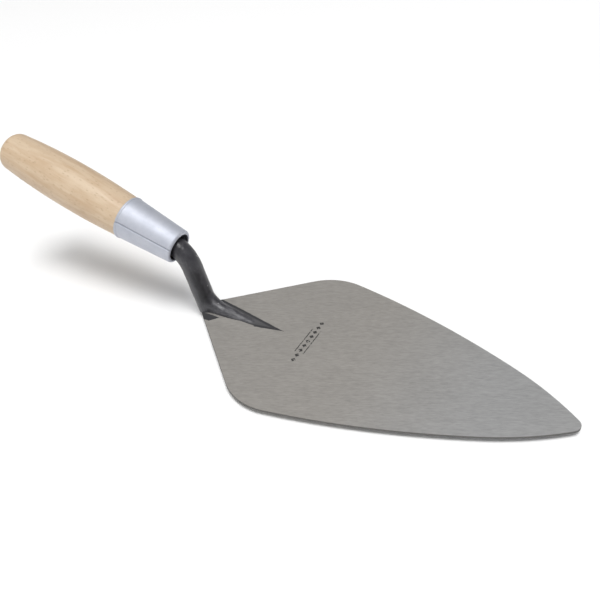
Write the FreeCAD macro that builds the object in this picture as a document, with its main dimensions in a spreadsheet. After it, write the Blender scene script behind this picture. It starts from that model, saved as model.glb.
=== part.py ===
"""Brick trowel: ground steel blade, forged round shank with its tongue and tang, plated steel ferrule
and turned beech handle.

Frame: millimetres, +X towards the blade's toe, +Z up, Y across.  The origin is on the underside of the
blade, below the middle of the shank's foot.  The part is symmetric about the XZ plane.
"""
import FreeCAD, Part
import math
import os

import Sketcher

SIZES = {
    # blade
    "blade_length": 228.6,       # heel point to toe
    "blade_width": 116.5,        # across the shoulders
    "blade_thickness": 1.3,
    "heel_angle": 42.1,          # each heel edge from the centre line, degrees
    "heel_nose_radius": 4.0,     # blunted heel point, under the foot
    "shoulder_radius": 33.4,
    "side_radius": 500.0,        # long side, from shoulder to nose
    "nose_radius": 168.0,        # faster curve that closes on the toe
    "nose_length": 38.7,         # toe back to where the nose curve starts
    "toe_radius": 5.0,
    "edge_chamfer": 0.35,        # ground top edge
    # shank
    "foot_setback": 8.0,         # heel point to the middle of the foot
    "bar_diameter": 12.5,
    "leg_lean": 12.4,            # lean back from upright, degrees
    "knee_height": 41.1,         # underside of the blade to where leg and handle axis cross
    "bend_radius": 20.0,
    "tongue_length": 35.5,       # middle of the foot to where the tongue runs out
    "tongue_rise": 8.1,          # crest above the blade at the middle of the foot
    "tongue_root_radius": 5.3,
    "tongue_tip_radius": 2.95,
    "crotch_radius": 3.5,        # forged blend between leg and tongue
    "tang_root_diameter": 9.0,
    "tang_tip_diameter": 5.0,
    "tang_length": 62.0,
    # ferrule
    "handle_angle": 18.6,        # handle axis above the blade's plane, degrees
    "mouth_offset": 4.75,        # knee to the ferrule's mouth
    "ferrule_length": 38.2,
    "ferrule_wall": 1.0,
    "mouth_clearance": 2.25,     # open ring between the bar and the ferrule's lip
    "lip_width": 2.1,            # rolled-in front face, from the mouth to the outside
    "lip_rounding": 1.6,
    "rim_width": 1.4,            # rolled rim at the wood
    "rim_proud": 0.3,
    # handle
    "neck_diameter": 26.6,
    "belly_diameter": 29.25,
    "butt_diameter": 23.9,
    "belly_station": 41.0,       # ferrule's rim to the thickest place
    "handle_length": 94.6,       # ferrule's rim to the end of the butt
    "dome_rise": 3.5,
    "butt_rounding": 5.0,
    "neck_gap": 0.25,            # step from the rim down to the wood
    "tenon_length": 26.0,
    "tenon_clearance": 0.1,
    "tang_clearance": 0.1,
    "bore_spare": 3.0,           # bore beyond the tang's tip
}
FOOT_OVERRUN = 5.0               # extra bar below the blade's top face, trimmed off again
TRIM_DEPTH = 30.0                # block that trims the foot flush, past the bar and the tongue each way
TINY = 1e-5

doc = FreeCAD.newDocument("brick_trowel")
sheet = doc.addObject("Spreadsheet::Sheet", "sizes")
for row, (alias, value) in enumerate(SIZES.items(), start=1):
    sheet.set(f"A{row}", alias)
    sheet.set(f"B{row}", str(value))
    sheet.setAlias(f"B{row}", alias)
doc.recompute()


# ---- expressions used in more than one place -----------------------------------------------------------
LEAN = "(sizes.leg_lean * 1 deg)"
RAKE = "(sizes.handle_angle * 1 deg)"
KNEE_X = f"(-(sizes.knee_height - sizes.blade_thickness) * tan({LEAN}))"
BEND_RUN = f"(sizes.bend_radius * tan((90 deg - {LEAN} - {RAKE}) / 2))"
SEAT_REACH = "(sizes.mouth_offset + sizes.ferrule_length - sizes.tenon_length)"
RIM_REACH = "(sizes.mouth_offset + sizes.ferrule_length)"
TENON_ROOT_RADIUS = "(sizes.neck_diameter / 2 - sizes.ferrule_wall - sizes.tenon_clearance)"
MOUTH_RADIUS = "(sizes.bar_diameter / 2 + sizes.mouth_clearance)"
FRONT_RADIUS = f"({MOUTH_RADIUS} + sizes.lip_width)"
FERRULE_TAPER = f"((sizes.neck_diameter / 2 - {FRONT_RADIUS}) / sizes.ferrule_length)"


def along_handle(reach, offset="0"):
    """Expressions for a point on the handle's axis, a reach behind the knee and an offset off the axis."""
    return (f"{KNEE_X} - {reach} * cos({RAKE}) + {offset} * sin({RAKE})",
            f"sizes.knee_height + {reach} * sin({RAKE}) + {offset} * cos({RAKE})")


def along_leg(reach):
    """Expressions for a point on the leg's centre line, a reach below the knee."""
    return f"{KNEE_X} + {reach} * sin({LEAN})", f"sizes.knee_height - {reach} * cos({LEAN})"


# ---- sketch helpers ------------------------------------------------------------------------------------
def number(text):
    """The value an expression has now."""
    result = sheet.evalExpression(text)
    return float(getattr(result, "Value", result))


def vector(point):
    return FreeCAD.Vector(number(point[0]), number(point[1]), 0)


def new_body(name):
    body = doc.addObject("PartDesign::Body", name)
    body.Label = name
    return body


def origin_plane(body, role):
    return next(item for item in body.Origin.OriginFeatures if item.Role == role)


def new_sketch(body, name, role="XZ_Plane"):
    sketch = body.newObject("Sketcher::SketchObject", name)
    sketch.AttachmentSupport = [(origin_plane(body, role), "")]
    sketch.MapMode = "FlatFace"
    return sketch


def dimension(sketch, kind, *where, text):
    """Add a dimension whose value is an expression of the sheet; the solver takes angles in radians."""
    value = math.radians(number(text)) if kind == "Angle" else number(text)
    index = sketch.addConstraint(Sketcher.Constraint(kind, *where, value))
    sketch.setExpression(f"Constraints[{index}]", text)


def tie(sketch, geometry, end, point):
    """Hold one end of a line or arc at a point given by two expressions."""
    dimension(sketch, "DistanceX", geometry, end, text=point[0])
    dimension(sketch, "DistanceY", geometry, end, text=point[1])


def chain(sketch, points, closed=True):
    """Straight lines from point to point, each corner held by its own two expressions."""
    first = sketch.GeometryCount
    last = len(points) if closed else len(points) - 1
    for index in range(last):
        start, end = points[index], points[(index + 1) % len(points)]
        sketch.addGeometry(Part.LineSegment(vector(start), vector(end)), False)
        tie(sketch, first + index, 1, start)
        if index:
            sketch.addConstraint(Sketcher.Constraint("Coincident", first + index - 1, 2, first + index, 1))
    if closed:
        sketch.addConstraint(Sketcher.Constraint("Coincident", first + last - 1, 2, first, 1))
    else:
        tie(sketch, first + last - 1, 2, points[-1])


def revolve(body, name, sketch, axis, kind="Revolution"):
    """Turn a profile about one of its sketch's own lines; a groove has to take metal or wood away."""
    before = body.Tip.Shape.Volume if body.Tip else 0
    feature = body.newObject(f"PartDesign::{kind}", name)
    feature.Profile = sketch
    feature.ReferenceAxis = (sketch, [axis])
    feature.Angle = 360
    doc.recompute()
    if kind == "Groove" and feature.Shape.Volume > before - TINY:
        raise RuntimeError(f"{name} cuts nothing")


def dress_edges(body, kind, name, size_property, text, wanted):
    """Fillet or chamfer the edges of the body's last shape that pass a test."""
    base = body.Tip
    names = [f"Edge{i}" for i, edge in enumerate(base.Shape.Edges, start=1) if wanted(base.Shape, edge)]
    feature = body.newObject(f"PartDesign::{kind}", name)
    feature.Base = (base, names)
    feature.setExpression(size_property, text)
    doc.recompute()


def ring_edge(level, radius):
    """Test for the circular edge of a turned piece at a height on its axis and a radius."""
    def test(_shape, edge):
        box = edge.BoundBox
        return (abs(box.ZMax - level) < TINY and abs(box.ZMin - level) < TINY
                and abs(box.XMax - radius) < TINY)
    return test


# ---- blade ---------------------------------------------------------------------------------------------
def arc(centre, radius, start, end):
    """Arc about a centre between two directions in radians, anticlockwise."""
    circle = Part.Circle(FreeCAD.Vector(*centre, 0), FreeCAD.Vector(0, 0, 1), radius)
    return Part.ArcOfCircle(circle, start, end)


def blade_curves():
    """The half outline worked out by hand: six curves from the heel to the toe, for the solver to hold."""
    value = {name: number(f"sizes.{name}") for name in SIZES}
    heel = math.radians(value["heel_angle"])
    apex = -value["foot_setback"]
    nose = apex + value["heel_nose_radius"] / math.sin(heel)
    rise = value["blade_width"] / 2 - value["shoulder_radius"]
    shoulder = (apex + (value["shoulder_radius"] + rise * math.cos(heel)) / math.sin(heel), rise)
    square = heel + math.pi / 2
    toe_end = apex + value["blade_length"]
    toe = toe_end - value["toe_radius"]

    def side_miss(angle):
        """How far the side curve passes from the shoulder when the toe arc ends at this direction."""
        reach = value["nose_radius"] - value["toe_radius"]
        centre = (toe - reach * math.cos(angle), -reach * math.sin(angle))
        across = (toe_end - value["nose_length"] - centre[0]) / value["nose_radius"]
        turn = math.acos(across)
        step = value["side_radius"] - value["nose_radius"]
        side = (centre[0] - step * across, centre[1] - step * math.sin(turn))
        gap = math.dist(side, shoulder) - (value["side_radius"] - value["shoulder_radius"])
        return gap, centre, turn, side

    low, high = math.radians(20), math.radians(75)
    for _ in range(60):
        middle = (low + high) / 2
        if (side_miss(middle)[0] > 0) == (side_miss(low)[0] > 0):
            low = middle
        else:
            high = middle
    _, centre, turn, side = side_miss(low)
    leave = math.atan2(shoulder[1] - side[1], shoulder[0] - side[0])

    def on_heel(point, radius):
        return FreeCAD.Vector(point[0] + radius * math.cos(square), point[1] + radius * math.sin(square), 0)

    return [arc((nose, 0), value["heel_nose_radius"], square, math.pi),
            Part.LineSegment(on_heel((nose, 0), value["heel_nose_radius"]),
                             on_heel(shoulder, value["shoulder_radius"])),
            arc(shoulder, value["shoulder_radius"], leave, square),
            arc(side, value["side_radius"], turn, leave),
            arc(centre, value["nose_radius"], low, turn),
            arc((toe, 0), value["toe_radius"], 0, low),
            Part.LineSegment(FreeCAD.Vector(toe_end, 0, 0),
                             FreeCAD.Vector(nose - value["heel_nose_radius"], 0, 0))]


def make_blade():
    body = new_body("blade")
    sketch = new_sketch(body, "half_outline", "XY_Plane")
    nose, heel, shoulder, side, point, toe, centre_line = range(7)
    sketch.addGeometry(blade_curves(), False)
    # arcs run anticlockwise, so each one's start (1) is its toe end and its end (2) its heel end
    joints = [(nose, 1, heel, 1), (heel, 2, shoulder, 2), (shoulder, 1, side, 2),
              (side, 1, point, 2), (point, 1, toe, 2)]
    for joint in joints:
        sketch.addConstraint(Sketcher.Constraint("Tangent", *joint))
    sketch.addConstraint(Sketcher.Constraint("Coincident", toe, 1, centre_line, 1))
    sketch.addConstraint(Sketcher.Constraint("Coincident", centre_line, 2, nose, 2))
    for geometry, end in ((centre_line, 1), (centre_line, 2), (nose, 3), (toe, 3)):
        sketch.addConstraint(Sketcher.Constraint("PointOnObject", geometry, end, -1))
    dimension(sketch, "Radius", nose, text="sizes.heel_nose_radius")
    dimension(sketch, "DistanceX", nose, 3,
              text="-sizes.foot_setback + sizes.heel_nose_radius / sin(sizes.heel_angle * 1 deg)")
    dimension(sketch, "Angle", heel, text="sizes.heel_angle * 1 deg")
    dimension(sketch, "Radius", shoulder, text="sizes.shoulder_radius")
    dimension(sketch, "DistanceY", shoulder, 3, text="sizes.blade_width / 2 - sizes.shoulder_radius")
    dimension(sketch, "Radius", side, text="sizes.side_radius")
    dimension(sketch, "Radius", point, text="sizes.nose_radius")
    dimension(sketch, "DistanceX", point, 2,
              text="sizes.blade_length - sizes.foot_setback - sizes.nose_length")
    dimension(sketch, "Radius", toe, text="sizes.toe_radius")
    dimension(sketch, "DistanceX", toe, 1, text="sizes.blade_length - sizes.foot_setback")

    pad = body.newObject("PartDesign::Pad", "half_blade")
    pad.Profile = sketch
    pad.setExpression("Length", "sizes.blade_thickness")
    doc.recompute()
    mirror = body.newObject("PartDesign::Mirrored", "whole_blade")
    mirror.Originals = [pad]
    mirror.MirrorPlane = (origin_plane(body, "XZ_Plane"), [""])
    body.Tip = mirror
    doc.recompute()
    top = number("sizes.blade_thickness")
    dress_edges(body, "Chamfer", "ground_edge", "Size", "sizes.edge_chamfer",
                lambda shape, edge: edge.BoundBox.ZMin > top - TINY)
    return body


# ---- shank: leg, bend, tongue and tang forged from one bar -----------------------------------------------
def make_shank():
    body = new_body("shank")
    foot_reach = f"((sizes.knee_height - sizes.blade_thickness) / cos({LEAN}) + {FOOT_OVERRUN})"
    path = new_sketch(body, "bar_path")
    lower, bend_low = along_leg(foot_reach), along_leg(BEND_RUN)
    bend_high, seat = along_handle(BEND_RUN), along_handle(SEAT_REACH)
    side_step = (f"{bend_low[0]} - sizes.bend_radius * cos({LEAN})",
                 f"{bend_low[1]} - sizes.bend_radius * sin({LEAN})")
    bend_end = math.radians(90 - number("sizes.handle_angle"))
    bend_start = math.radians(number("sizes.leg_lean"))
    centre = vector(side_step)
    path.addGeometry([Part.LineSegment(vector(lower), vector(bend_low)),
                      arc((centre.x, centre.y), number("sizes.bend_radius"), bend_start, bend_end),
                      Part.LineSegment(vector(bend_high), vector(seat))], False)
    path.addConstraint(Sketcher.Constraint("Tangent", 0, 2, 1, 1))
    path.addConstraint(Sketcher.Constraint("Tangent", 1, 2, 2, 1))
    tie(path, 0, 1, lower)
    tie(path, 0, 2, bend_low)
    dimension(path, "Radius", 1, text="sizes.bend_radius")
    tie(path, 2, 2, seat)
    doc.recompute()

    section = body.newObject("Sketcher::SketchObject", "bar_section")
    section.AttachmentSupport = [(path, "Edge1")]
    section.MapMode = "NormalToEdge"
    section.MapPathParameter = 0
    section.addGeometry(Part.Circle(FreeCAD.Vector(), FreeCAD.Vector(0, 0, 1),
                                    number("sizes.bar_diameter / 2")), False)
    section.addConstraint(Sketcher.Constraint("Coincident", 0, 3, -1, 1))
    dimension(section, "Radius", 0, text="sizes.bar_diameter / 2")
    bar = body.newObject("PartDesign::AdditivePipe", "bar")
    bar.Profile = section
    bar.Spine = (path, ["Edge1", "Edge2", "Edge3"])
    doc.recompute()

    # The tongue is the bar drawn down to a taper and laid into the blade: a cone with its crest running
    # straight from above the foot to the blade's top face.
    tongue = new_sketch(body, "tongue_profile")
    top = "sizes.blade_thickness"
    chain(tongue, [("0", f"{top} + sizes.tongue_rise - sizes.tongue_root_radius"),
                   ("sizes.tongue_length", f"{top} - sizes.tongue_tip_radius"),
                   ("sizes.tongue_length", top),
                   ("0", f"{top} + sizes.tongue_rise")])
    revolve(body, "tongue", tongue, "Edge1")

    trim = new_sketch(body, "trim_outline")
    rear, fore = f"-{TRIM_DEPTH}", f"sizes.tongue_length + {TRIM_DEPTH}"
    below = f"{top} - {TRIM_DEPTH}"
    chain(trim, [(rear, top), (fore, top), (fore, below), (rear, below)])
    before = body.Tip.Shape.Volume
    flush = body.newObject("PartDesign::Pocket", "flush_foot")
    flush.Profile = trim
    flush.Type = "ThroughAll"
    flush.Midplane = True
    doc.recompute()
    if not flush.Shape.Volume < before - TINY:
        raise RuntimeError("flush_foot cuts nothing")

    def is_crotch(shape, edge):
        kinds = {face.Surface.TypeId for face in shape.ancestorsOfType(edge, Part.Face)}
        return kinds == {"Part::GeomCone", "Part::GeomCylinder"}

    dress_edges(body, "Fillet", "crotch", "Radius", "sizes.crotch_radius", is_crotch)

    tang = new_sketch(body, "tang_profile")
    tip = f"({SEAT_REACH} + sizes.tang_length)"
    chain(tang, [along_handle(SEAT_REACH), along_handle(tip),
                 along_handle(tip, "sizes.tang_tip_diameter / 2"),
                 along_handle(SEAT_REACH, "sizes.tang_root_diameter / 2")])
    revolve(body, "tang", tang, "Edge1")
    return body


# ---- pieces turned about the handle's axis ---------------------------------------------------------------
# Each is drawn in its own frame, radius along X and distance behind the ferrule's rim along Z, and then
# placed on the handle's axis.
def put_on_handle_axis(body):
    rim_x, rim_z = along_handle(RIM_REACH)
    body.Placement = FreeCAD.Placement(FreeCAD.Vector(number(rim_x), 0, number(rim_z)),
                                       FreeCAD.Rotation(FreeCAD.Vector(0, -1, 0),
                                                        90 - number("sizes.handle_angle")))
    body.setExpression("Placement.Base.x", rim_x)
    body.setExpression("Placement.Base.z", rim_z)
    body.setExpression("Placement.Rotation.Angle", f"90 deg - {RAKE}")
    doc.recompute()


def make_ferrule():
    body = new_body("ferrule")
    profile = new_sketch(body, "ferrule_profile")
    rear, front, mouth = "sizes.neck_diameter / 2", FRONT_RADIUS, MOUTH_RADIUS
    rim = f"{rear} + sizes.rim_proud"
    lip = "-sizes.ferrule_length"
    chain(profile, [(f"{rear} - sizes.ferrule_wall", "0"), (rim, "0"), (rim, "-sizes.rim_width"),
                    (f"{rear} - {FERRULE_TAPER} * (sizes.rim_width + sizes.rim_proud)",
                     "-sizes.rim_width - sizes.rim_proud"),
                    (front, lip), (mouth, lip), (mouth, f"{lip} + sizes.ferrule_wall"),
                    (f"{front} - sizes.ferrule_wall + {FERRULE_TAPER} * sizes.ferrule_wall",
                     f"{lip} + sizes.ferrule_wall")])
    revolve(body, "tube", profile, "V_Axis")
    dress_edges(body, "Fillet", "rolled_lip", "Radius", "sizes.lip_rounding",
                ring_edge(number(lip), number(front)))
    put_on_handle_axis(body)
    return body


def make_handle():
    body = new_body("handle")
    profile = new_sketch(body, "handle_profile")
    neck = ("sizes.neck_diameter / 2 - sizes.neck_gap", "0")
    belly = ("sizes.belly_diameter / 2", "sizes.belly_station")
    butt = ("sizes.butt_diameter / 2", "sizes.handle_length - sizes.dome_rise")
    end = ("0", "sizes.handle_length")
    tenon_front = (f"{TENON_ROOT_RADIUS} - {FERRULE_TAPER} * sizes.tenon_length", "-sizes.tenon_length")
    tenon_root = (TENON_ROOT_RADIUS, "0")

    def bulge(start, finish, centre_on):
        """Arc through two points with its centre held to a height or to the axis."""
        one, two = vector(start), vector(finish)
        middle, gap = (one + two) / 2, two - one
        if centre_on == "axis":
            shift = -middle.x
            centre = FreeCAD.Vector(0, middle.y + (-shift) * gap.x / gap.y, 0)
        else:
            level = number(centre_on)
            centre = FreeCAD.Vector(middle.x - (level - middle.y) * gap.y / gap.x, level, 0)
        angles = [math.atan2(p.y - centre.y, p.x - centre.x) for p in (one, two)]
        return arc((centre.x, centre.y), (one - centre).Length, *angles)

    fore, aft, dome = 0, 1, 2
    profile.addGeometry([bulge(neck, belly, belly[1]), bulge(belly, butt, belly[1]),
                         bulge(butt, end, "axis")], False)
    for first, second in ((fore, aft), (aft, dome)):
        profile.addConstraint(Sketcher.Constraint("Coincident", first, 2, second, 1))
    tie(profile, fore, 1, neck)
    tie(profile, fore, 2, belly)
    tie(profile, aft, 2, butt)
    for curve in (fore, aft):
        dimension(profile, "DistanceY", curve, 3, text=belly[1])
    profile.addConstraint(Sketcher.Constraint("PointOnObject", dome, 3, -2))
    tie(profile, dome, 2, end)
    chain(profile, [end, ("0", tenon_front[1]), tenon_front, tenon_root, neck], closed=False)
    revolve(body, "turned_grip", profile, "V_Axis")
    dress_edges(body, "Fillet", "rounded_butt", "Radius", "sizes.butt_rounding",
                ring_edge(number(butt[1]), number(butt[0])))

    bore = new_sketch(body, "bore_profile")
    gap = "sizes.tang_clearance"
    mouth = f"sizes.tang_root_diameter / 2 + {gap}"
    depth = "sizes.tang_length - sizes.tenon_length + sizes.bore_spare"
    taper = "(sizes.tang_root_diameter - sizes.tang_tip_diameter) / 2 / sizes.tang_length"
    bottom = f"{mouth} - {taper} * (sizes.tang_length + sizes.bore_spare)"
    chain(bore, [("0", "-sizes.tenon_length"), (mouth, "-sizes.tenon_length"), (bottom, depth), ("0", depth)])
    revolve(body, "tang_bore", bore, "V_Axis", kind="Groove")
    put_on_handle_axis(body)
    return body


pieces = [make_blade(), make_shank(), make_ferrule(), make_handle()]
doc.recompute()

for item in doc.Objects:
    if {"Invalid", "Error"} & set(item.State):
        raise RuntimeError(f"{item.Name} failed: {item.State}")
os.makedirs("parts", exist_ok=True)
for piece in pieces:
    shape = piece.Shape
    if shape.isNull() or not shape.isValid() or len(shape.Solids) != 1:
        raise RuntimeError(f"{piece.Label} has no single valid solid")
    shape.exportStep(f"parts/{piece.Label}.step")
    print(f"{piece.Label}: {shape.Volume:.0f} mm3, {len(shape.Faces)} faces")
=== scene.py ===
"""Brick trowel: the finished look of the blade, shank, ferrule and handle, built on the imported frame.

Metres, +X towards the blade's toe, +Z up.  The origin is on the underside of the blade, below the middle
of the shank's foot.
"""
import logging
import math
from collections.abc import Callable, Sequence
from dataclasses import dataclass
from enum import Enum

import bmesh
import bpy
from mathutils import Matrix, Vector, noise


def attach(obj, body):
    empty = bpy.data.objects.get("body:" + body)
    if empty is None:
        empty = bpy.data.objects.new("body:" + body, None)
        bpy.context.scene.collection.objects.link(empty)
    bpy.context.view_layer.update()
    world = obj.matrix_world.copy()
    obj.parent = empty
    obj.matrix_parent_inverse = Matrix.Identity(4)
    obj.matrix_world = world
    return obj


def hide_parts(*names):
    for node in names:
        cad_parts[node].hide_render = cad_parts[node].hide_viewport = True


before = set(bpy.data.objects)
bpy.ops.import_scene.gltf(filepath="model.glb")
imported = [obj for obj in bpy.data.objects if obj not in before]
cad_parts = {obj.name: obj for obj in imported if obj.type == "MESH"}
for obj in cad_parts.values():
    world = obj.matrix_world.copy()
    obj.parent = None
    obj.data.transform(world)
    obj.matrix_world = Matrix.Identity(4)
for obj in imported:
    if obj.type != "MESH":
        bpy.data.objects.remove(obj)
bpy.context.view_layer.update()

LOG = logging.getLogger("trowel")
MM = 0.001
BODY = "root"
SHARP_ANGLE = math.radians(32)
CROSSWAYS = Vector((0, 1, 0))
TOUCHING = 1e-6 * MM

Socket = bpy.types.NodeSocket
Feed = Socket | float | tuple[float, ...]
Colour = tuple[float, float, float, float]
Point = tuple[float, float]
Span = tuple[float, float]
Vertices = list[bmesh.types.BMVert]
Section = tuple[Vector, Vector, float]


# ======================================== shared lines and curves ========================================
@dataclass(frozen=True)
class TrowelLines:
    """The centre lines that the pieces share.

    The leg rises from the foot and leans back to the knee, where it meets the handle's axis.
    """
    blade_thickness: float = 1.3 * MM
    leg_lean: float = math.radians(12.4)
    knee_height: float = 41.1 * MM
    handle_rake: float = math.radians(18.6)
    mouth_offset: float = 4.75 * MM
    ferrule_length: float = 38.2 * MM
    ferrule_front_radius: float = 10.6 * MM
    ferrule_wall: float = 1.0 * MM
    neck_radius: float = 13.3 * MM
    tenon_length: float = 26.0 * MM
    bar_radius: float = 6.25 * MM
    tongue_length: float = 35.5 * MM

    @property
    def knee(self) -> Vector:
        """Where the leg's centre line and the handle's axis cross."""
        rise = self.knee_height - self.blade_thickness
        return Vector((-rise * math.tan(self.leg_lean), 0, self.knee_height))

    @property
    def rearward(self) -> Vector:
        """Unit vector up the handle, from the ferrule to the butt."""
        return Vector((-math.cos(self.handle_rake), 0, math.sin(self.handle_rake)))

    @property
    def downward(self) -> Vector:
        """Unit vector down the leg, from the knee to the foot."""
        return Vector((math.sin(self.leg_lean), 0, -math.cos(self.leg_lean)))

    @property
    def rim_reach(self) -> float:
        """Distance from the knee back to the ferrule's rear rim."""
        return self.mouth_offset + self.ferrule_length

    @property
    def seat_reach(self) -> float:
        """Distance from the knee back to the front of the handle's tenon."""
        return self.rim_reach - self.tenon_length

    @property
    def ferrule_taper(self) -> float:
        """Radius that the ferrule loses for each metre towards its front."""
        return (self.neck_radius - self.ferrule_front_radius) / self.ferrule_length

    def rim_matrix(self) -> Matrix:
        """Placement of a turned piece: its Z runs up the handle from the centre of the ferrule's rim."""
        turn = Matrix.Rotation(self.handle_rake - math.pi / 2, 4, "Y")
        return Matrix.Translation(self.knee + self.rearward * self.rim_reach) @ turn


def arc_points(centre: Point, radius: float, start: float, end: float, steps: int) -> list[Point]:
    """Points along an arc, both ends included.

    Args:
        centre: Centre of the arc.
        radius: Radius of the arc.
        start: Direction of the first point from the centre, in radians.
        end: Direction of the last point from the centre, in radians.
        steps: Number of equal steps along the arc.

    Returns:
        The points in order from start to end.
    """
    angles = (start + (end - start) * i / steps for i in range(steps + 1))
    return [(centre[0] + radius * math.cos(a), centre[1] + radius * math.sin(a)) for a in angles]


def crowned(station: float, top_station: float, top: float, other_station: float, other: float) -> float:
    """Radius of a barrel whose side is one arc, level at its top.

    Args:
        station: Where the radius is wanted.
        top_station: Where the barrel is widest.
        top: Radius there.
        other_station: Where another radius is known.
        other: The radius known there.

    Returns:
        The radius at the station.
    """
    reach, drop = abs(other_station - top_station), top - other
    bow = (reach * reach + drop * drop) / (2 * drop)
    return top - bow + math.sqrt(bow * bow - (station - top_station) ** 2)


def even_profile(corners: Sequence[Point], step: float) -> list[Point]:
    """Divide the straight runs of a profile into equal parts.

    Args:
        corners: The profile's corners.
        step: Greatest length of a part.

    Returns:
        The corners with the points between them.
    """
    points = [corners[0]]
    for start, end in zip(corners, corners[1:]):
        parts = max(1, math.ceil(math.dist(start, end) / step))
        points += [(start[0] + (end[0] - start[0]) * k / parts, start[1] + (end[1] - start[1]) * k / parts)
                   for k in range(1, parts + 1)]
    return points


# ======================================== mesh making ========================================
def mark_sharp(mesh: bmesh.types.BMesh) -> None:
    """Shade every face smooth and mark the edges that turn further than the sharp angle.

    Args:
        mesh: Mesh to mark.
    """
    for face in mesh.faces:
        face.smooth = True
    for edge in mesh.edges:
        edge.smooth = len(edge.link_faces) != 2 or edge.calc_face_angle() < SHARP_ANGLE


def finish_piece(name: str, mesh: bmesh.types.BMesh, node: str, material: bpy.types.Material) -> bpy.types.Object:
    """Turn a mesh into a piece that stands for a CAD node.

    Args:
        name: Name of the piece.
        mesh: The finished mesh, which is freed here.
        node: CAD node that the piece stands for.
        material: Finish of the whole piece.

    Returns:
        The piece, riding on the part's body.
    """
    bmesh.ops.recalc_face_normals(mesh, faces=mesh.faces)
    mark_sharp(mesh)
    data = bpy.data.meshes.new(name)
    mesh.to_mesh(data)
    mesh.free()
    piece = bpy.data.objects.new(name, data)
    bpy.context.scene.collection.objects.link(piece)
    data.materials.append(material)
    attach(piece, BODY)
    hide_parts(node)
    return piece


def add_lathe(mesh: bmesh.types.BMesh, profile: Sequence[Point], segments: int,
              shape: Callable[[float, float, float], float] | None = None) -> Vertices:
    """Turn a closed or axis-to-axis profile about Z.

    Args:
        mesh: Mesh that the turned surface is added to.
        profile: Points as radius and height; a radius of zero is a point on the axis.
        segments: Number of steps round the axis.
        shape: Gives the radius to use from the radius, height and angle of a point.

    Returns:
        The vertices that were added.
    """
    rings: list[Vertices] = []
    for radius, height in profile:
        if radius == 0:
            rings.append([mesh.verts.new((0, 0, height))])
            continue
        ring = []
        for i in range(segments):
            angle = 2 * math.pi * i / segments
            reach = shape(radius, height, angle) if shape else radius
            ring.append(mesh.verts.new((reach * math.cos(angle), reach * math.sin(angle), height)))
        rings.append(ring)
    closed = len(rings[0]) > 1
    pairs = zip(rings, rings[1:] + rings[:1]) if closed else zip(rings, rings[1:])
    for first, second in pairs:
        for i in range(segments):
            j = (i + 1) % segments
            corners = [first[i % len(first)], first[j % len(first)],
                       second[j % len(second)], second[i % len(second)]]
            mesh.faces.new(list(dict.fromkeys(corners)))
    return [vertex for ring in rings for vertex in ring]


def add_tube(mesh: bmesh.types.BMesh, sections: Sequence[Section], segments: int) -> None:
    """Skin a round solid along a line in the XZ plane and cap both its ends.

    Args:
        mesh: Mesh that the solid is added to.
        sections: The sections in order.
        segments: Number of steps round a section.
    """
    rings = []
    for centre, ahead, radius in sections:
        across = CROSSWAYS.cross(ahead)
        angles = (2 * math.pi * i / segments for i in range(segments))
        rings.append([mesh.verts.new(centre + radius * (math.cos(a) * CROSSWAYS + math.sin(a) * across))
                      for a in angles])
    for first, second in zip(rings, rings[1:]):
        for i in range(segments):
            j = (i + 1) % segments
            mesh.faces.new((first[i], first[j], second[j], second[i]))
    mesh.faces.new(rings[0])
    mesh.faces.new(list(reversed(rings[-1])))


def skin_rows(mesh: bmesh.types.BMesh, first: Vertices, second: Vertices) -> None:
    """Add the faces between two rows of vertices.

    Args:
        mesh: Mesh that the faces are added to.
        first: The first row.
        second: The second row, as long as the first, unless one of them is a single point.
    """
    for k in range(max(len(first), len(second)) - 1):
        corners = [first[min(k, len(first) - 1)], first[min(k + 1, len(first) - 1)],
                   second[min(k + 1, len(second) - 1)], second[min(k, len(second) - 1)]]
        mesh.faces.new(list(dict.fromkeys(corners)))


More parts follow.
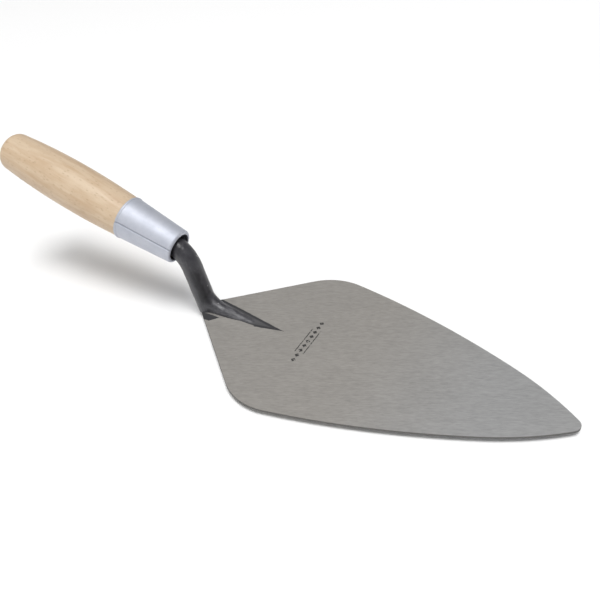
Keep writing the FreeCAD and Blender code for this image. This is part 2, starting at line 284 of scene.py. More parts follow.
# ======================================== node wiring ========================================
@dataclass(frozen=True)
class Wiring:
    """Adds nodes to one node tree and joins them."""
    tree: bpy.types.NodeTree

    def feed(self, socket: Socket, value: Feed) -> None:
        """Link a socket to another socket, or set its value.

        Args:
            socket: Input to feed.
            value: Output to link from, or a plain value.
        """
        if isinstance(value, bpy.types.NodeSocket):
            self.tree.links.new(value, socket)
        else:
            socket.default_value = value

    def add(self, kind: str, settings: dict[str, object] | None = None,
            **inputs: Feed) -> bpy.types.Node:
        """Add a node.

        Args:
            kind: Type of the node, such as "ShaderNodeTexNoise".
            settings: Properties to set on the node.
            **inputs: Values or sockets for its inputs, with _ for each space in an input's name.

        Returns:
            The new node.
        """
        node = self.tree.nodes.new(kind)
        for name, value in (settings or {}).items():
            setattr(node, name, value)
        for name, value in inputs.items():
            self.feed(node.inputs[name.replace("_", " ")], value)
        return node

    def math(self, operation: str, first: Feed, second: Feed = 0.0, clamp: bool = False) -> Socket:
        """Add a math node.

        Args:
            operation: Name of the operation.
            first: First value.
            second: Second value, where the operation has one.
            clamp: Whether the result is held between 0 and 1.

        Returns:
            The result.
        """
        node = self.tree.nodes.new("ShaderNodeMath")
        node.operation = operation
        node.use_clamp = clamp
        self.feed(node.inputs[0], first)
        self.feed(node.inputs[1], second)
        return node.outputs[0]

    def total(self, constant: float, *parts: tuple[Socket, float]) -> Socket:
        """Add weighted values to a constant.

        Args:
            constant: What the sum starts from.
            *parts: Values, each with its weight.

        Returns:
            The sum.
        """
        result: Feed = constant
        for value, weight in parts:
            result = self.math("ADD", result, self.math("MULTIPLY", value, weight))
        return result

    def product(self, first: Feed, *others: Feed) -> Socket:
        """Multiply values, or combine masks that must all hold.

        Args:
            first: First value.
            *others: The other values.

        Returns:
            The product.
        """
        result = first
        for value in others:
            result = self.math("MULTIPLY", result, value)
        return result

    def ramp(self, value: Feed, low: float, high: float, to_low: float = 0.0,
             to_high: float = 1.0) -> Socket:
        """Carry a value smoothly from one range to another and hold it at the ends.

        Args:
            value: Value to carry.
            low: Start of the first range.
            high: End of the first range.
            to_low: Result at the start.
            to_high: Result at the end.

        Returns:
            The carried value.
        """
        node = self.add("ShaderNodeMapRange", {"interpolation_type": "SMOOTHSTEP"}, Value=value,
                        From_Min=low, From_Max=high, To_Min=to_low, To_Max=to_high)
        return node.outputs["Result"]

    def blend(self, factor: Feed, first: Feed, second: Feed, kind: str = "MIX") -> Socket:
        """Mix two colours.

        Args:
            factor: Share of the second colour.
            first: First colour.
            second: Second colour.
            kind: How the second colour is laid on the first.

        Returns:
            The mixed colour.
        """
        node = self.tree.nodes.new("ShaderNodeMix")
        node.data_type = "RGBA"
        node.blend_type = kind
        self.feed(node.inputs["Factor"], factor)
        colour_inputs = [s for s in node.inputs if s.type == "RGBA"]
        self.feed(colour_inputs[0], first)
        self.feed(colour_inputs[1], second)
        return next(s for s in node.outputs if s.type == "RGBA")

    def axes(self, vector: Socket) -> tuple[Socket, Socket, Socket]:
        """The X, Y and Z of a vector."""
        node = self.add("ShaderNodeSeparateXYZ", Vector=vector)
        return node.outputs["X"], node.outputs["Y"], node.outputs["Z"]

    def place(self, vector: Feed, turn: tuple[float, float, float] = (0, 0, 0),
              scale: tuple[float, float, float] = (1, 1, 1)) -> Socket:
        """A vector turned and then scaled."""
        turned = self.add("ShaderNodeMapping", Vector=vector, Rotation=turn).outputs["Vector"]
        return self.add("ShaderNodeMapping", Vector=turned, Scale=scale).outputs["Vector"]

    def squeeze(self, vector: Socket, length: Socket) -> Socket:
        """A vector with its X divided, so that what is laid on it grows longer along X."""
        along, across, depth = self.axes(vector)
        return self.add("ShaderNodeCombineXYZ", X=self.math("DIVIDE", along, length), Y=across,
                        Z=depth).outputs["Vector"]

    def effect(self, kind: "Effect", **inputs: Feed) -> Socket:
        """Place one of the shared effects.

        Args:
            kind: The effect.
            **inputs: Values or sockets for its inputs.

        Returns:
            The effect's value.
        """
        node = self.tree.nodes.new("ShaderNodeGroup")
        node.node_tree = kind.tree()
        for name, value in inputs.items():
            self.feed(node.inputs[name.replace("_", " ")], value)
        return node.outputs[0]


def new_group(name: str, inputs: dict[str, tuple[str, object]],
              output: str) -> tuple[Wiring, bpy.types.NodeOutputs, Socket]:
    """Start a node group with one output.

    Args:
        name: Name of the group.
        inputs: Socket type and default for each input.
        output: Name of the output.

    Returns:
        The group's wiring, the outputs of its input node and the input that takes its result.
    """
    tree = bpy.data.node_groups.new(name, "ShaderNodeTree")
    for label, (kind, default) in inputs.items():
        socket = tree.interface.new_socket(label, in_out="INPUT", socket_type=f"NodeSocket{kind}")
        if default is not None:
            socket.default_value = default
    tree.interface.new_socket(output, in_out="OUTPUT", socket_type="NodeSocketFloat")
    wiring = Wiring(tree)
    return wiring, wiring.add("NodeGroupInput").outputs, wiring.add("NodeGroupOutput").inputs[output]


def streaks_group(name: str) -> bpy.types.NodeTree:
    """Long fine lines along X, as left by a grinding belt, a brush or the growth of wood.

    Args:
        name: Name of the group.

    Returns:
        The group.
    """
    wiring, given, result = new_group(name, {
        "Vector": ("Vector", None), "Fineness": ("Float", 1000.0), "Length": ("Float", 12.0),
        "Wander": ("Float", 0.3), "Contrast": ("Float", 1.0)}, "Value")
    lines = wiring.add("ShaderNodeTexNoise", {"noise_dimensions": "3D"},
                       Vector=wiring.squeeze(given["Vector"], given["Length"]), Scale=given["Fineness"],
                       Detail=3.0, Roughness=0.62, Distortion=given["Wander"])
    spread = wiring.math("MULTIPLY", wiring.math("SUBTRACT", lines.outputs["Fac"], 0.5), given["Contrast"])
    wiring.feed(result, wiring.math("ADD", spread, 0.5, clamp=True))
    return wiring.tree


def mottle_group(name: str) -> bpy.types.NodeTree:
    """Soft uneven patches of two sizes.

    Args:
        name: Name of the group.

    Returns:
        The group.
    """
    wiring, given, result = new_group(name, {
        "Vector": ("Vector", None), "Size": ("Float", 0.02), "Contrast": ("Float", 1.0)}, "Value")
    scale = wiring.math("DIVIDE", 1.0, given["Size"])
    broad = wiring.add("ShaderNodeTexNoise", Vector=given["Vector"], Scale=scale, Detail=2.0, Roughness=0.5)
    close = wiring.add("ShaderNodeTexNoise", Vector=given["Vector"],
                       Scale=wiring.math("MULTIPLY", scale, 4.3), Detail=4.0, Roughness=0.6)
    both = wiring.total(0.0, (broad.outputs["Fac"], 0.65), (close.outputs["Fac"], 0.35))
    spread = wiring.math("MULTIPLY", wiring.math("SUBTRACT", both, 0.5), given["Contrast"])
    wiring.feed(result, wiring.math("ADD", spread, 0.5, clamp=True))
    return wiring.tree


def flecks_group(name: str) -> bpy.types.NodeTree:
    """Scattered small marks: pits, pores, chips or dust, longer along X where Length says so.

    Args:
        name: Name of the group.

    Returns:
        The group.
    """
    wiring, given, result = new_group(name, {
        "Vector": ("Vector", None), "Spacing": ("Float", 0.001), "Length": ("Float", 1.0),
        "Share": ("Float", 0.2), "Radius": ("Float", 0.2)}, "Mask")
    cells = wiring.add("ShaderNodeTexVoronoi", Vector=wiring.squeeze(given["Vector"], given["Length"]),
                       Scale=wiring.math("DIVIDE", 1.0, given["Spacing"]), Randomness=1.0)
    spot = wiring.math("LESS_THAN", cells.outputs["Distance"], given["Radius"])
    chosen, _, _ = wiring.axes(cells.outputs["Color"])
    wiring.feed(result, wiring.math("MULTIPLY", spot, wiring.math("LESS_THAN", chosen, given["Share"])))
    return wiring.tree


def edge_wear_group(name: str) -> bpy.types.NodeTree:
    """Mask of the outward edges of a piece, broken up by noise.

    Args:
        name: Name of the group.

    Returns:
        The group.
    """
    wiring, given, result = new_group(name, {
        "Vector": ("Vector", None), "Start": ("Float", 0.52), "Width": ("Float", 0.06),
        "Break up": ("Float", 0.06)}, "Mask")
    sharpness = wiring.add("ShaderNodeNewGeometry").outputs["Pointiness"]
    ragged = wiring.add("ShaderNodeTexNoise", Vector=given["Vector"], Scale=700.0, Detail=4.0,
                        Roughness=0.65)
    shift = wiring.math("MULTIPLY", wiring.math("SUBTRACT", ragged.outputs["Fac"], 0.5), given["Break up"])
    above = wiring.math("SUBTRACT", wiring.math("ADD", sharpness, shift), given["Start"])
    wiring.feed(result, wiring.math("DIVIDE", above, given["Width"], clamp=True))
    return wiring.tree


class Effect(Enum):
    """The effects that the finishes share."""
    STREAKS = ("streaks", streaks_group)
    MOTTLE = ("mottle", mottle_group)
    FLECKS = ("flecks", flecks_group)
    EDGE_WEAR = ("edge wear", edge_wear_group)

    def tree(self) -> bpy.types.NodeTree:
        """The effect's node group, built the first time that it is asked for."""
        name, build = self.value
        return bpy.data.node_groups.get(name) or build(name)


@dataclass(frozen=True)
class MaterialStart:
    """A new material with its Principled shader, its wiring and the object's own coordinates."""
    material: bpy.types.Material
    wiring: Wiring
    shader: bpy.types.Node
    position: Socket

    @classmethod
    def named(cls, name: str) -> "MaterialStart":
        """Make a material with nothing in it but its shader and output.

        Args:
            name: Name of the material.

        Returns:
            The material, ready to be wired.
        """
        material = bpy.data.materials.new(name)
        material.use_nodes = True
        tree = material.node_tree
        tree.nodes.clear()
        wiring = Wiring(tree)
        shader = wiring.add("ShaderNodeBsdfPrincipled")
        output = wiring.add("ShaderNodeOutputMaterial")
        tree.links.new(shader.outputs["BSDF"], output.inputs["Surface"])
        return cls(material, wiring, shader, wiring.add("ShaderNodeTexCoord").outputs["Object"])

    def set(self, **inputs: Feed) -> None:
        """Set or link inputs of the shader, with _ for each space in a name."""
        for name, value in inputs.items():
            self.wiring.feed(self.shader.inputs[name.replace("_", " ")], value)

    def ragged(self, scale: float, detail: float = 3.0) -> Socket:
        """Fine noise about 0.5, which breaks up the edge of a mask."""
        return self.wiring.add("ShaderNodeTexNoise", Vector=self.position, Scale=scale,
                               Detail=detail).outputs["Fac"]

    def bump(self, height: Feed, distance: float, strength: float = 1.0) -> None:
        """Raise the surface by a height of up to a distance."""
        node = self.wiring.add("ShaderNodeBump", Height=height, Distance=distance, Strength=strength)
        self.set(Normal=node.outputs["Normal"])


# ======================================== finishes ========================================
@dataclass(frozen=True)
class GroundSteel:
    """Belt-ground blade steel with the dark paint left in a point round the tongue, and a plain mark."""
    top: float
    tongue_end: float
    warm: Colour = (0.352, 0.335, 0.313, 1)
    cool: Colour = (0.362, 0.362, 0.362, 1)
    warm_end: float = 90 * MM
    cool_start: float = 190 * MM
    paint: Colour = (0.030, 0.030, 0.033, 1)
    thin_paint: Colour = (0.080, 0.079, 0.082, 1)
    ink: Colour = (0.030, 0.029, 0.028, 1)
    pit: Colour = (0.20, 0.19, 0.18, 1)
    # side of the plate: the sheared steel's darker tone plus painted shade
    sheared_edge_and_shade: Colour = (0.085, 0.082, 0.078, 1)
    metallic: float = 0.5
    roughness: float = 0.50
    pit_strength: float = 0.30
    edge_shade_strength: float = 0.85
    grain_depth: float = 0.03 * MM
    grind_direction: float = math.radians(-24)
    fine_weight: float = 0.38
    coarse_weight: float = 0.14
    patch_weight: float = 0.08
    paint_tip: float = 55 * MM
    paint_slope: float = 0.197
    paint_line: float = 1.3 * MM
    paint_from: float = 0.2
    thin_run: float = 12.0
    ground_from: float = -3.4 * MM
    ground_to: float = -2.8 * MM
    patch_inner: float = -5.9 * MM
    patch_outer: float = -10.6 * MM
    patch_reach: float = 17.9 * MM
    # share of the paint colour in the strip of painted shade by the leg's foot
    shaded_strip_share: float = 0.45
    shaded_strip_reach: Span = (4 * MM, 16 * MM)
    mark_station: float = 71.3 * MM
    mark_centre: float = -1.5 * MM
    mark_half_length: float = 19 * MM
    mark_pitch: float = 4.2 * MM
    lozenge_reach: float = 1.5 * MM
    rule_offset: float = 2.7 * MM
    rule_half_width: float = 0.30 * MM
    rule_half_length: float = 10.45 * MM
    mark_from: float = 0.9
    side_from: float = 0.05
    side_end: Span = (0.96, 0.995)

    def paint_masks(self, start: MaterialStart) -> tuple[Socket, Socket]:
        """Where paint is left on the blade, with a strip of painted shade by the leg's foot, and where the paint
        is thin.

        Args:
            start: The material under way.

        Returns:
            The mask of the paint, and the mask of its thin middle.
        """
        wire = start.wiring
        x, y, z = wire.axes(start.position)
        shake = wire.math("MULTIPLY", wire.math("SUBTRACT", start.ragged(420.0), 0.5), 1.1 * MM)
        edge = wire.math("MULTIPLY", wire.math("SUBTRACT", self.paint_tip, x), self.paint_slope)
        inside = wire.math("SUBTRACT", edge, wire.math("ABSOLUTE", y))
        point = wire.ramp(wire.math("ADD", inside, wire.math("MULTIPLY", shake, 0.5)), 0.0, 0.3 * MM)
        # the right side is ground bare as far as the tongue's run-out, but for a patch at the heel's edge and,
        # beside it by the leg's foot, a thin strip of painted shade: a share of the paint colour that damps the
        # swell's highlight there
        shaken_x = wire.math("ADD", x, shake)
        shaken_y = wire.math("ADD", y, wire.math("MULTIPLY", shake, 0.6))
        right = wire.ramp(shaken_y, self.ground_from, self.ground_to, 1.0, 0.0)
        before_tip = wire.ramp(wire.math("ADD", x, wire.math("MULTIPLY", shake, 2.0)), self.tongue_end - MM,
                               self.tongue_end + MM, 1.0, 0.0)
        painted = wire.product(point, wire.math("SUBTRACT", 1.0, wire.product(right, before_tip)))
        patch = wire.product(wire.math("LESS_THAN", shaken_y, self.patch_inner),
                             wire.math("GREATER_THAN", shaken_y, self.patch_outer),
                             wire.math("LESS_THAN", shaken_x, wire.math("ADD", shaken_y, self.patch_reach)))
        # strip of painted shade beside the leg's foot, which damps the swell's highlight
        strip = wire.product(wire.math("GREATER_THAN", shaken_y, self.patch_inner),
                             wire.ramp(shaken_x, *self.shaded_strip_reach, self.shaded_strip_share, 0.0),
                             wire.math("LESS_THAN", shaken_y, 0.0))
        on_top = wire.math("GREATER_THAN", z, self.paint_from * self.top)
        # the paint mask also carries the strip of painted shade
        paint = wire.product(wire.math("MAXIMUM", painted, wire.math("MAXIMUM", patch, strip)), on_top)
        slant = wire.math("DIVIDE", x, self.thin_run)
        left = wire.math("GREATER_THAN", wire.math("ADD", y, slant), 0.0)
        thin = wire.product(wire.ramp(inside, self.paint_line, 2 * self.paint_line), left)
        return paint, thin

    def mark_mask(self, start: MaterialStart) -> Socket:
        """A plain mark across the blade: a row of small lozenges between two thin rules.

        Args:
            start: The material under way.

        Returns:
            The mask of the mark.
        """
        wire = start.wiring
        x, y, z = wire.axes(start.position)
        along = wire.math("SUBTRACT", y, self.mark_centre)
        across = wire.math("ABSOLUTE", wire.math("SUBTRACT", x, self.mark_station))
        step = wire.math("PINGPONG", wire.math("DIVIDE", along, self.mark_pitch), 0.5)
        cell = wire.product(step, self.mark_pitch)
        lozenge = wire.math("LESS_THAN", wire.math("ADD", cell, across), self.lozenge_reach)
        from_rule = wire.math("ABSOLUTE", wire.math("SUBTRACT", across, self.rule_offset))
        from_middle = wire.math("ABSOLUTE", along)
        rule = wire.product(wire.math("LESS_THAN", from_rule, self.rule_half_width),
                            wire.math("LESS_THAN", from_middle, self.rule_half_length))
        inside = wire.math("LESS_THAN", from_middle, self.mark_half_length)
        worn = wire.ramp(start.ragged(900.0), 0.32, 0.46)
        on_top = wire.math("GREATER_THAN", z, self.mark_from * self.top)
        return wire.product(wire.math("MAXIMUM", lozenge, rule), inside, worn, on_top)

    def side_shade_mask(self, start: MaterialStart) -> Socket:
        """The side of the plate between its two faces, up into its top chamfer: painted shade over the sheared
        steel's own darker tone.

        Args:
            start: The material under way.

        Returns:
            The mask of the side.
        """
        wire = start.wiring
        _, _, z = wire.axes(start.position)
        low, high = self.side_end
        return wire.product(wire.ramp(z, low * self.top, high * self.top, 1.0, 0.0),
                            wire.math("GREATER_THAN", z, self.side_from * self.top))

    def material(self) -> bpy.types.Material:
        """Build the finish.

        Returns:
            The material.
        """
        start = MaterialStart.named("ground steel")
        wire = start.wiring
        turned = wire.place(start.position, (0, 0, self.grind_direction))
        fine = wire.effect(Effect.STREAKS, Vector=turned, Fineness=1300.0, Length=5.0, Contrast=1.5)
        coarse = wire.effect(Effect.STREAKS, Vector=turned, Fineness=430.0, Length=7.0, Contrast=1.2)
        patches = wire.effect(Effect.MOTTLE, Vector=start.position, Size=0.030, Contrast=1.3)
        pits = wire.effect(Effect.FLECKS, Vector=start.position, Spacing=0.9 * MM, Share=0.22, Radius=0.16)
        x, _, _ = wire.axes(start.position)
        mean = 1.0 - (self.fine_weight + self.coarse_weight + self.patch_weight) / 2
        level = wire.total(mean, (fine, self.fine_weight), (coarse, self.coarse_weight),
                           (patches, self.patch_weight))
        grey = wire.add("ShaderNodeCombineColor", Red=level, Green=level, Blue=level).outputs["Color"]
        steel = wire.blend(wire.ramp(x, self.warm_end, self.cool_start), self.warm, self.cool)
        steel = wire.blend(1.0, steel, grey, "MULTIPLY")
        steel = wire.blend(wire.product(pits, self.pit_strength), steel, self.pit)
        # painted shade over the side and the top chamfer, which also hides the chamfer's highlight
        side = self.side_shade_mask(start)
        steel = wire.blend(wire.product(side, self.edge_shade_strength), steel, self.sheared_edge_and_shade)
        (paint, thin), mark = self.paint_masks(start), self.mark_mask(start)
        rubbed = wire.math("MULTIPLY", thin, wire.total(0.5, (coarse, 0.8)), clamp=True)
        colour = wire.blend(paint, steel, wire.blend(rubbed, self.paint, self.thin_paint))
        colour = wire.blend(mark, colour, self.ink)
        dull = wire.math("MAXIMUM", wire.math("MAXIMUM", paint, mark), wire.product(side, 0.5))
        start.set(Base_Color=colour, Roughness=wire.total(self.roughness, (fine, 0.14), (patches, 0.06)),
                  Metallic=wire.product(wire.math("SUBTRACT", 1.0, dull), self.metallic))
        relief = wire.total(0.0, (fine, 0.5), (coarse, 0.5), (pits, -0.5), (paint, 0.8))
        start.bump(relief, self.grain_depth, 0.6)
        return start.material


@dataclass(frozen=True)
class DarkPaint:
    """Charcoal paint over forged steel, rubbed thin along the tongue and knocked off in small chips, with painted
    highlights at the bend and in the crotch and a band of painted shade down the leg.
    """
    leg_lean: float
    colour: Colour = (0.008, 0.007, 0.011, 1)
    dusty: Colour = (0.046, 0.045, 0.053, 1)
    rubbed: Colour = (0.135, 0.134, 0.145, 1)
    bare: Colour = (0.30, 0.295, 0.305, 1)
    # painted shade: a dark band down the leg's front right side, for the blade's dark reflection
    painted_shade_colour: Colour = (0.003, 0.003, 0.004, 1)
    painted_shade_angle: float = math.radians(-46)
    painted_shade_width: float = math.radians(36)
    painted_shade_foot: Span = (6 * MM, 11 * MM)
    painted_shade_top: Span = (28 * MM, 38 * MM)
    painted_shade_strength: float = 0.6
    painted_shade_dulling: float = 0.27
    shine: float = 0.72
    roughness: float = 0.26
    tongue_start: Span = (3 * MM, 9 * MM)
    tongue_top: Span = (10 * MM, 14 * MM)
    leg_scuffing: float = 0.22
    tongue_scuffing: float = 0.62
    chip_and_highlight_strength: float = 0.7
    skin_depth: float = 0.22 * MM
    # painted highlights: light spots at the bend and in the crotch
    highlight_spots: tuple[tuple[float, float, float], ...] = (
        (-3.2 * MM, 2.8 * MM, 37.8 * MM), (4.6 * MM, -1.4 * MM, 9.4 * MM))
    highlight_spot_radius: float = 0.8 * MM

    def painted_highlight_mask(self, start: MaterialStart) -> Socket:
        """Painted highlights: small light ragged spots at the bend and in the crotch, drawn as bare steel.

        Args:
            start: The material under way.

        Returns:
            The mask of the spots.
        """
        wire = start.wiring
        reach = wire.product(start.ragged(900.0), 2 * self.highlight_spot_radius)
        mask: Feed = 0.0
        for spot in self.highlight_spots:
            away = wire.add("ShaderNodeVectorMath", {"operation": "DISTANCE"})
            wire.feed(away.inputs[0], start.position)
            wire.feed(away.inputs[1], spot)
            mask = wire.math("MAXIMUM", mask, wire.math("LESS_THAN", away.outputs["Value"], reach))
        return mask

    def painted_shade_mask(self, start: MaterialStart, up_leg: Socket) -> Socket:
        """Painted shade: a dark band down the front right side of the leg, standing in for the blade's dark
        reflection there.

        Args:
            start: The material under way.
            up_leg: Position with X along the leg.

        Returns:
            The mask, 1 in the middle of the run.
        """
        wire = start.wiring
        _, across, behind = wire.axes(up_leg)
        _, _, height = wire.axes(start.position)
        around = wire.math("ARCTAN2", across, wire.product(behind, -1.0))
        shake = wire.product(wire.math("SUBTRACT", start.ragged(150.0), 0.5), 0.9)
        shaken = wire.math("ADD", around, shake)
        away = wire.math("ABSOLUTE", wire.math("SUBTRACT", shaken, self.painted_shade_angle))
        return wire.product(wire.ramp(away, 0.3 * self.painted_shade_width, self.painted_shade_width, 1.0, 0.0),
                            wire.ramp(height, *self.painted_shade_foot),
                            wire.ramp(height, *self.painted_shade_top, 1.0, 0.0))

    def material(self) -> bpy.types.Material:
        """Build the finish.

        Returns:
            The material.
        """
        start = MaterialStart.named("dark paint")
        wire = start.wiring
        x, _, z = wire.axes(start.position)
        on_tongue = wire.product(wire.ramp(x, *self.tongue_start), wire.ramp(z, *self.tongue_top, 1.0, 0.0))
        up_leg = wire.place(start.position, (0, math.pi / 2 + self.leg_lean, 0))
        patches = wire.effect(Effect.MOTTLE, Vector=start.position, Size=0.009, Contrast=2.6)
        leg_scuffs = wire.effect(Effect.STREAKS, Vector=up_leg, Fineness=620.0, Length=6.0, Contrast=2.0)
        tongue_scuffs = wire.effect(Effect.STREAKS, Vector=start.position, Fineness=520.0, Length=7.0,
                                    Contrast=2.2)
        specks = wire.effect(Effect.FLECKS, Vector=start.position, Spacing=2.2 * MM, Share=0.05,
                             Radius=0.20)
        # bare specks, plus the painted highlight spots at the bend and in the crotch
        chips = wire.math("MAXIMUM", specks, self.painted_highlight_mask(start))
        # painted shade band on the leg, where it reflects the dark blade
        run = self.painted_shade_mask(start, up_leg)
        along_leg = wire.product(wire.ramp(leg_scuffs, 0.55, 0.95), self.leg_scuffing)
        colour = wire.blend(patches, self.colour, self.dusty)
        colour = wire.blend(along_leg, colour, self.rubbed)
        along_tongue = wire.product(wire.ramp(tongue_scuffs, 0.30, 0.90), self.tongue_scuffing, on_tongue)
        colour = wire.blend(along_tongue, colour, self.rubbed)
        # lighten the bare specks and the painted highlight spots
        colour = wire.blend(wire.product(chips, self.chip_and_highlight_strength), colour, self.bare)
        # darken the paint in the painted shade band
        colour = wire.blend(wire.product(run, self.painted_shade_strength), colour, self.painted_shade_colour)
        rough = wire.total(self.roughness, (patches, 0.20), (on_tongue, 0.10))
        start.set(Base_Color=colour, Roughness=rough, Metallic=wire.product(chips, 0.5),
                  # the painted shade band also lowers the specular level
                  Specular_IOR_Level=wire.total(self.shine, (run, -self.painted_shade_dulling)))
        scuff_relief = wire.product(tongue_scuffs, on_tongue)
        relief = wire.total(0.0, (patches, 1.0), (chips, -0.4), (scuff_relief, 0.6))
        start.bump(relief, self.skin_depth, 0.7)
        return start.material


@dataclass(frozen=True)
class ZincPlate:
    """Bright zinc plate over drawn steel tube: bluish, satin, faintly brushed along the tube."""
    lines: TrowelLines
    seam_angle: float
    seam_width: float = 0.75 * MM
    bright: Colour = (0.575, 0.590, 0.650, 1)
    dull: Colour = (0.460, 0.485, 0.550, 1)
    shade: Colour = (0.20, 0.215, 0.26, 1)
    light: Colour = (0.80, 0.80, 0.82, 1)
    metallic: float = 0.55
    roughness: float = 0.50
    speck_strength: float = 0.25
    wear_strength: float = 0.4
    # strength of the painted dark reflection along the seam
    seam_shade_strength: float = 0.7
    skin_depth: float = 0.02 * MM

    def seam_shade_mask(self, start: MaterialStart, axial: Socket) -> Socket:
        """A soft dark line along the seam where the rolled sheet meets: a painted dark reflection over the seam's
        groove.

        Args:
            start: The material under way.
            axial: Position with X along the handle's axis.

        Returns:
            The mask, 1 in the middle of the seam.
        """
        wire = start.wiring
        lines = self.lines
        rake = lines.handle_rake
        axis_height = lines.knee.x * math.sin(rake) + lines.knee.z * math.cos(rake)
        _, across, up = wire.axes(axial)
        turn = wire.math("ARCTAN2", across, wire.math("SUBTRACT", up, axis_height))
        from_seam = wire.math("ABSOLUTE", wire.math("SUBTRACT", turn, self.seam_angle))
        away = wire.product(from_seam, lines.neck_radius)
        reach = wire.product(wire.math("ADD", start.ragged(300.0, 2.0), 0.5), self.seam_width)
        return wire.ramp(wire.math("DIVIDE", away, reach), 0.0, 1.2, 1.0, 0.0)

    def material(self) -> bpy.types.Material:
        """Build the finish.

        Returns:
            The material.
        """
        start = MaterialStart.named("zinc plate")
        wire = start.wiring
        axial = wire.place(start.position, (0, -self.lines.handle_rake, 0))
        drawn = wire.effect(Effect.STREAKS, Vector=axial, Fineness=1400.0, Length=16.0, Contrast=1.4)
        cloud = wire.effect(Effect.MOTTLE, Vector=start.position, Size=0.009, Contrast=1.6)
        specks = wire.effect(Effect.FLECKS, Vector=start.position, Spacing=1.1 * MM, Share=0.12,
                             Radius=0.15)
        wear = wire.effect(Effect.EDGE_WEAR, Vector=start.position, Start=0.56, Width=0.08)
        colour = wire.blend(cloud, self.bright, self.dull)
        colour = wire.blend(wire.product(specks, self.speck_strength), colour, self.shade)
        colour = wire.blend(wire.product(wear, self.wear_strength), colour, self.light)
        # painted dark reflection along the seam's groove
        seam = wire.product(self.seam_shade_mask(start, axial), self.seam_shade_strength)
        colour = wire.blend(seam, colour, self.shade)
        start.set(Base_Color=colour, Roughness=wire.total(self.roughness, (cloud, 0.12), (drawn, 0.07)),
                  Metallic=self.metallic)
        start.bump(wire.total(0.0, (drawn, 0.4), (cloud, 0.6)), self.skin_depth, 0.6)
        return start.material


@dataclass(frozen=True)
class TurnedBeech:
    """Pale beech, turned and thinly varnished: soft growth bands and short dark flecks along the grain."""
    rake: float
    pale: Colour = (0.635, 0.500, 0.355, 1)
    deep: Colour = (0.525, 0.375, 0.240, 1)
    fleck: Colour = (0.33, 0.205, 0.115, 1)
    fibre_strength: float = 0.18
    ray_strength: float = 0.30
    pore_strength: float = 0.16
    roughness: float = 0.42
    grain_depth: float = 0.05 * MM
    varnish: float = 0.18
    varnish_roughness: float = 0.32

    def material(self) -> bpy.types.Material:
        """Build the finish.

        Returns:
            The material.
        """
        start = MaterialStart.named("turned beech")
        wire = start.wiring
        axial = wire.place(start.position, (0, -self.rake, 0))
        bands = wire.effect(Effect.STREAKS, Vector=axial, Fineness=230.0, Length=8.0, Contrast=1.6)
        fibre = wire.effect(Effect.STREAKS, Vector=axial, Fineness=900.0, Length=14.0, Contrast=1.5)
        rays = wire.effect(Effect.FLECKS, Vector=axial, Spacing=1.5 * MM, Length=2.4, Share=0.55,
                           Radius=0.25)
        pores = wire.effect(Effect.FLECKS, Vector=axial, Spacing=0.55 * MM, Length=4.0, Share=0.45,
                            Radius=0.22)
        drawn_out = wire.place(axial, scale=(0.3, 1, 1))
        cloud = wire.effect(Effect.MOTTLE, Vector=drawn_out, Size=0.009, Contrast=1.7)
        tone = wire.total(0.0, (bands, 0.55), (cloud, 0.45))
        colour = wire.blend(wire.ramp(tone, 0.25, 0.75), self.pale, self.deep)
        dark_fibre = wire.product(wire.ramp(fibre, 0.5, 0.9), self.fibre_strength)
        colour = wire.blend(dark_fibre, colour, self.fleck)
        colour = wire.blend(wire.product(rays, self.ray_strength), colour, self.fleck)
        colour = wire.blend(wire.product(pores, self.pore_strength), colour, self.fleck)
        start.set(Base_Color=colour, Roughness=wire.total(self.roughness, (fibre, 0.16)),
                  Coat_Weight=self.varnish, Coat_Roughness=self.varnish_roughness, Specular_IOR_Level=0.45)
        start.bump(wire.total(0.0, (fibre, 0.6), (pores, -0.5)), self.grain_depth, 0.6)
        return start.material


